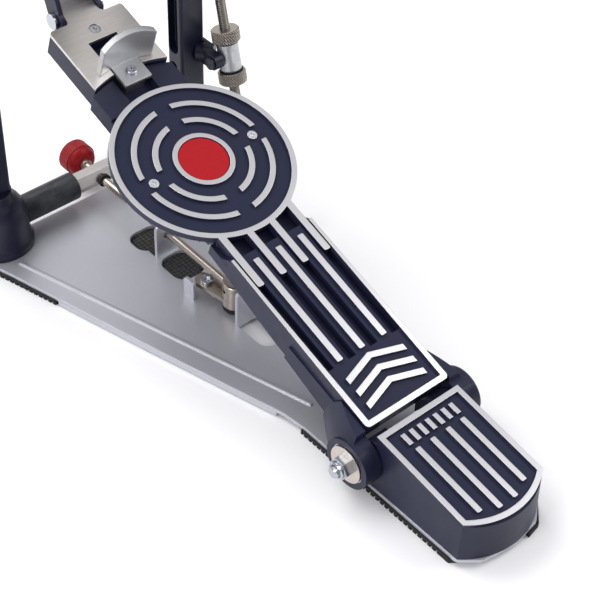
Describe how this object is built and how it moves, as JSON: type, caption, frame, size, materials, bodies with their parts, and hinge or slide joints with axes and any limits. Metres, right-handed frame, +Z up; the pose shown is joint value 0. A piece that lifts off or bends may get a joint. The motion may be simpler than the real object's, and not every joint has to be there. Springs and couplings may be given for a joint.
{
  "type": "bass drum pedal",
  "caption": "Long-board foot pedal on a tapered base: hinged footboard with a round toe disc, direct-drive link, twin columns, swinging felt beater and side return spring.",
  "frame": {"origin": "on the floor, straight below the middle of the heel hinge axis", "axes": "+X to the drummer's right, +Y from the heel towards the drum, +Z up"},
  "size_m": [0.2195, 0.4582, 0.3818],
  "materials": {
    "navy_casting": "satin paint with polished raised lines",
    "navy_column": "satin paint",
    "base_silver": "satin silver paint",
    "steel": "brushed",
    "plated": "bright zinc plate",
    "cast_grey": "bead blasted",
    "knurled": "knurled nickel",
    "black_rubber": "matt, ribbed",
    "grey_sleeve": "mottled matt",
    "red_plastic": "satin",
    "red_rubber": "matt",
    "felt": "pressed felt",
    "wood_core": "turned maple"
  },
  "bodies": {
    "base": {"base_plate": "base_silver", "heel_grip_pad": "black_rubber", "front_grip_pad_left": "black_rubber", "front_grip_pad_right": "black_rubber", "center_grip_mat": "black_rubber", "heel_casting": "navy_casting", "hinge_shaft": "plated", "hinge_washers": "plated", "hinge_nuts": "plated", "column_shroud_left": "navy_column", "column_shroud_right": "navy_column", "column_left": "navy_column", "column_right": "navy_column", "cross_bar": "steel", "bar_sleeves": "grey_sleeve", "rod_grommet": "black_rubber", "bearing_block_left": "navy_column", "bearing_block_right": "navy_column", "axle_bearings": "plated", "spring_arm": "navy_column", "lever_pivot_bolt": "plated"},
    "clamp_lever": {"clamp_lever": "steel", "lever_grip": "black_rubber", "lever_bracket": "steel", "lever_screw": "plated", "lever_foot": "black_rubber"},
    "pull_rod": {"pull_rod": "steel"},
    "clamp_knob": {"clamp_knob": "red_plastic"},
    "footboard": {"footboard": "navy_casting", "hinge_bearings": "plated", "toe_plate": "steel", "toe_plate_screw": "plated", "toe_pin": "plated"},
    "disc_carriage": {"disc_saddle": "navy_casting", "foot_disc": "navy_casting", "disc_insert": "red_rubber", "disc_screws": "plated"},
    "toe_stop": {"toe_stop": "cast_grey", "toe_stop_screw": "plated", "toe_stop_nut": "steel"},
    "drive_axle": {"axle": "steel", "axle_collar": "plated", "drive_crank": "navy_casting", "crank_pin": "plated", "spring_crank": "cast_grey", "spring_crank_pin": "plated"},
    "beater_screw": {"beater_screw": "plated"},
    "beater": {"beater_rod": "steel", "beater_core": "wood_core", "beater_felt": "felt"},
    "drive_link": {"drive_link": "navy_casting", "link_bearings": "plated"},
    "spring_swivel": {"spring_swivel": "cast_grey", "swivel_pin": "plated", "tension_rod": "knurled", "swivel_rings": "black_rubber"},
    "upper_tension_nut": {"upper_tension_nut": "knurled"},
    "lower_tension_nut": {"lower_tension_nut": "knurled"},
    "spring_hanger": {"spring_hanger": "plated", "return_spring": "plated"}
  },
  "joints": [
    {"name": "footboard_hinge", "type": "hinge", "parent": "base", "child": "footboard", "pos_m": [0, 0, 0.0259], "axis": [1, 0, 0], "range_deg": [-5.6, 0], "stiffness_Nm_per_rad": 22, "springref_deg": 9.17},
    {"name": "disc_slide", "type": "slide", "parent": "footboard", "child": "disc_carriage", "axis": [0, 0.949, 0.3153], "range_m": [-0.009, 0]},
    {"name": "toe_stop_slide", "type": "slide", "parent": "footboard", "child": "toe_stop", "axis": [0, 0.949, 0.3153], "range_m": [0, 0.012]},
    {"name": "axle_spin", "type": "hinge", "parent": "base", "child": "drive_axle", "pos_m": [0, 0.322, 0.23], "axis": [1, 0, 0], "range_deg": [-47.91, 0]},
    {"name": "link_swing", "type": "hinge", "parent": "drive_axle", "child": "drive_link", "pos_m": [0, 0.35463, 0.24521], "axis": [1, 0, 0], "range_deg": [0, 54.01]},
    {"name": "beater_height", "type": "slide", "parent": "drive_axle", "child": "beater", "axis": [0, -0.682, 0.7314], "range_m": [-0.03, 0.01]},
    {"name": "beater_screw_turn", "type": "hinge", "parent": "drive_axle", "child": "beater_screw", "pos_m": [0, 0.3283, 0.24818], "axis": [0, 0.7314, 0.682], "continuous": true},
    {"name": "swivel_tilt", "type": "hinge", "parent": "base", "child": "spring_swivel", "pos_m": [0.101, 0.289, 0.0926], "axis": [1, 0, 0], "range_deg": [0, 8.1]},
    {"name": "spring_stretch", "type": "slide", "parent": "spring_swivel", "child": "spring_hanger", "axis": [0, 0.2335, 0.9723], "range_m": [0, 0.00917], "deforming": ["return_spring"]},
    {"name": "upper_nut_turn", "type": "hinge", "parent": "spring_swivel", "child": "upper_tension_nut", "pos_m": [0.101, 0.289, 0.0926], "axis": [0, 0.2335, 0.9723], "continuous": true},
    {"name": "lower_nut_turn", "type": "hinge", "parent": "spring_swivel", "child": "lower_tension_nut", "pos_m": [0.101, 0.289, 0.0926], "axis": [0, 0.2335, 0.9723], "continuous": true},
    {"name": "clamp_lever_turn", "type": "hinge", "parent": "base", "child": "clamp_lever", "pos_m": [0.023, 0.17, 0.0125], "axis": [0, 0, 1], "range_deg": [0, 7]},
    {"name": "pull_rod_slide", "type": "slide", "parent": "base", "child": "pull_rod", "axis": [0, -1, 0], "range_m": [0, 0.00269]},
    {"name": "clamp_knob_turn", "type": "hinge", "parent": "pull_rod", "child": "clamp_knob", "pos_m": [0.001, 0.335, 0.0225], "axis": [0, 1, 0], "continuous": true}
  ],
  "couplings": [
    {"joint": "axle_spin", "follows": "footboard_hinge", "ratio": 8.5508},
    {"joint": "link_swing", "follows": "footboard_hinge", "ratio": -9.64},
    {"joint": "swivel_tilt", "follows": "footboard_hinge", "ratio": -1.445},
    {"joint": "spring_stretch", "follows": "footboard_hinge", "m_per_rad": -0.093762},
    {"joint": "pull_rod_slide", "follows": "clamp_lever_turn", "m_per_rad": 0.022}
  ]
}
